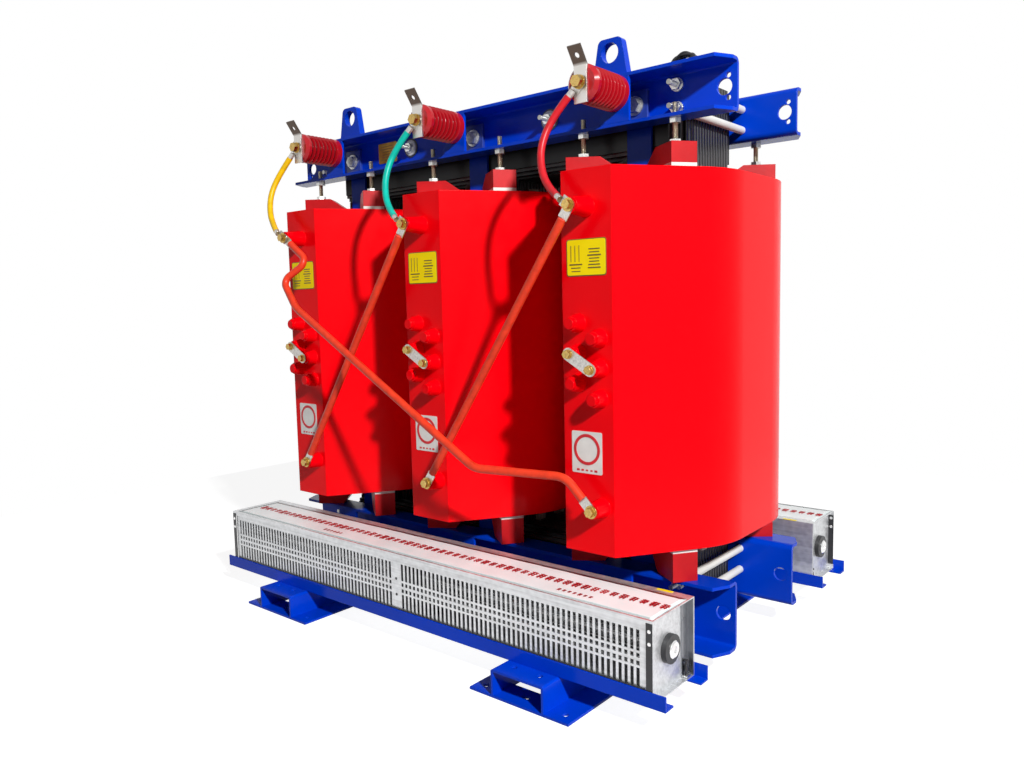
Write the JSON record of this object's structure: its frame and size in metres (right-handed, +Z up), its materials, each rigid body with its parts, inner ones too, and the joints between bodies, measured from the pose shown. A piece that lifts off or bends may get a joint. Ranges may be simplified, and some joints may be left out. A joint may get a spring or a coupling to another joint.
{
  "type": "dry type transformer",
  "caption": "Open cast-resin dry type transformer with a row of red coils in a blue clamp frame, delta links at the front and cross-flow cooling fans along its feet.",
  "frame": {"origin": "middle of the footprint on the floor", "axes": "+X along the row of coils, -Y towards the high-voltage front with its post insulators, +Z up"},
  "size_m": [1.57, 1.178, 1.494],
  "materials": {
    "zinc": "zinc plated",
    "pad_rubber": "matt",
    "brass": "satin",
    "core_lacquer": "satin",
    "delta_red": "satin",
    "bearing_black": "matt",
    "galvanised": "galvanised",
    "motor_black": "satin",
    "blue_paint": "gloss",
    "rotor_aluminium": "satin",
    "red_resin": "gloss",
    "lead_yellow": "satin",
    "lead_green": "satin",
    "lead_red": "satin",
    "tinned": "tinned",
    "spacer_white": "matt",
    "busbar_tin": "bare",
    "lv_resin": "gloss",
    "red_resin_post": "gloss",
    "cable_black": "matt",
    "sleeve_plastic": "matt",
    "red_block": "gloss",
    "grey_steel": "satin"
  },
  "bodies": {
    "frame": {"clamp_studs": "zinc", "coil_pads": "pad_rubber", "coil_terminal_bolts": "brass", "core_bottom_yoke": "core_lacquer", "core_limbs": "core_lacquer", "core_top_yoke": "core_lacquer", "delta_rods": "delta_red", "delta_tube": "delta_red", "fan_bearings": "bearing_black", "fan_corner_angles": "galvanised", "fan_end_plates": "galvanised", "fan_grille_front": "galvanised", "fan_grille_rear": "galvanised", "fan_housing_front": "galvanised", "fan_housing_rear": "galvanised", "fan_motor_front": "motor_black", "fan_motor_rear": "motor_black", "fan_rails_front": "blue_paint", "fan_rails_rear": "blue_paint", "foot_bolts": "zinc", "foot_left": "blue_paint", "foot_right": "blue_paint", "hv_coil_1": "red_resin", "hv_coil_2": "red_resin", "hv_coil_3": "red_resin", "hv_lead_1": "lead_yellow", "hv_lead_2": "lead_green", "hv_lead_3": "lead_red", "insulator_bolts": "brass", "insulator_brackets": "blue_paint", "jack_nuts": "zinc", "jack_screws": "zinc", "lead_lugs": "tinned", "lifting_lugs": "blue_paint", "limb_spacers": "spacer_white", "lower_clamp_front": "blue_paint", "lower_clamp_rear": "blue_paint", "lower_gussets": "blue_paint", "lv_busbars": "busbar_tin", "lv_winding_1": "lv_resin", "lv_winding_2": "lv_resin", "lv_winding_3": "lv_resin", "post_insulator_1": "red_resin_post", "post_insulator_2": "red_resin_post", "post_insulator_3": "red_resin_post", "sensor_cable": "cable_black", "stud_nuts": "zinc", "stud_sleeves": "sleeve_plastic", "support_blocks_bottom": "red_block", "support_blocks_top": "red_block", "tap_bolts": "brass", "tap_links": "tinned", "terminal_strips": "tinned", "tie_plate_bolts": "zinc", "tie_plate_pads": "grey_steel", "tie_plates": "blue_paint", "upper_clamp_front": "blue_paint", "upper_clamp_rear": "blue_paint"},
    "rotor_front": {"fan_rotor_front": "rotor_aluminium"},
    "rotor_rear": {"fan_rotor_rear": "rotor_aluminium"}
  },
  "joints": [
    {"name": "fan_spin_front", "type": "hinge", "parent": "frame", "child": "rotor_front", "pos_m": [0, -0.439, 0.1575], "axis": [1, 0, 0], "continuous": true},
    {"name": "fan_spin_rear", "type": "hinge", "parent": "frame", "child": "rotor_rear", "pos_m": [0, 0.439, 0.1575], "axis": [1, 0, 0], "continuous": true}
  ]
}
